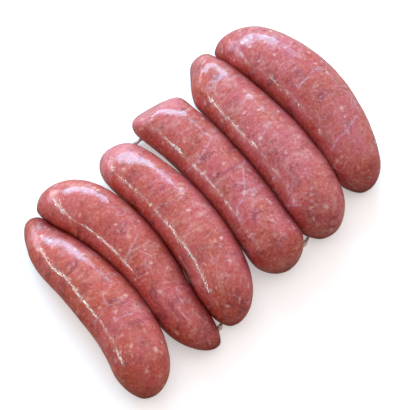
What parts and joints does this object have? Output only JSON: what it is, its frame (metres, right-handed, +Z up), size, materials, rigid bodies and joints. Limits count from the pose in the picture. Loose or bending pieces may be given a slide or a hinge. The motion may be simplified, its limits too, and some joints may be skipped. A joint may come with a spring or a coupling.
{
  "type": "string of sausage links",
  "caption": "String of plump raw sausage links folded to and fro, lying side by side and joined end to end by short twisted casing necks",
  "frame": {"origin": "middle of the footprint, on the table", "axes": "+X to the right and +Y away from the viewer of the picture, +Z up"},
  "size_m": [0.1948, 0.2176, 0.0347],
  "materials": {
    "meat": "wet gloss over mottled raw mince",
    "casing": "damp, slightly translucent"
  },
  "bodies": {
    "root": {"link_1": "meat", "link_2": "meat", "link_3": "meat", "link_4": "meat", "link_5": "meat", "link_6": "meat", "twist_1_2": "casing", "twist_2_3": "casing", "twist_3_4": "casing", "twist_4_5": "casing", "twist_5_6": "casing"}
  },
  "joints": []
}
